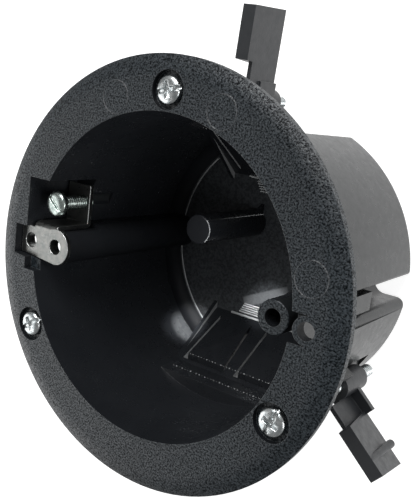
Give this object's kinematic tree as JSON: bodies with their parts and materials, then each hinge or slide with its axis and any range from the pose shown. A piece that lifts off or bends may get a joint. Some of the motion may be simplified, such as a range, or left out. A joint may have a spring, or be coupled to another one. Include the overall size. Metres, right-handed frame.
{
  "type": "round ceiling electrical box",
  "caption": "Round plastic ceiling electrical box with a broad flange, swing-out clamp wings, sloped cable entries, fixture screw holes and a grounding bracket.",
  "frame": {"origin": "centre of the flat closed back face", "axes": "+Z out of the open front; +X along the fixture screw holes towards the plastic screw boss, away from the steel bracket; +Y towards the cable entry that has a clamp beside it"},
  "size_m": [0.1208, 0.124, 0.064],
  "materials": {
    "body": "fine matt texture on the flange, smoother inside",
    "clamp": "satin moulded plastic",
    "screw_steel": "bright zinc",
    "bracket_steel": "satin zinc",
    "ground_zinc": "greenish zinc"
  },
  "bodies": {
    "box": {"box_body": "body", "ground_bracket": "bracket_steel"},
    "ground_screw": {"ground_screw": "ground_zinc"},
    "screw_top": {"clamp_screw_top": "screw_steel"},
    "wing_top": {"clamp_wing_top": "clamp"},
    "screw_left": {"clamp_screw_left": "screw_steel"},
    "wing_left": {"clamp_wing_left": "clamp"},
    "screw_right": {"clamp_screw_right": "screw_steel"},
    "wing_right": {"clamp_wing_right": "clamp"}
  },
  "joints": [
    {"name": "swing_top", "type": "hinge", "parent": "box", "child": "screw_top", "pos_m": [0, 0.04565, 0.0605], "axis": [0, 0, 1], "range_deg": [-10, 92]},
    {"name": "travel_top", "type": "slide", "parent": "screw_top", "child": "wing_top", "axis": [0, 0, -1], "range_m": [-0.02, 0.004]},
    {"name": "swing_left", "type": "hinge", "parent": "box", "child": "screw_left", "pos_m": [-0.03953, -0.02283, 0.0605], "axis": [0, 0, 1], "range_deg": [-7, 95]},
    {"name": "travel_left", "type": "slide", "parent": "screw_left", "child": "wing_left", "axis": [0, 0, -1], "range_m": [-0.02, 0.004]},
    {"name": "swing_right", "type": "hinge", "parent": "box", "child": "screw_right", "pos_m": [0.03953, -0.02283, 0.0605], "axis": [0, 0, 1], "range_deg": [-1, 101]},
    {"name": "travel_right", "type": "slide", "parent": "screw_right", "child": "wing_right", "axis": [0, 0, -1], "range_m": [-0.02, 0.004]},
    {"name": "ground_drive", "type": "slide", "parent": "box", "child": "ground_screw", "axis": [0, 0, -1], "range_m": [0, 0.0089]}
  ]
}
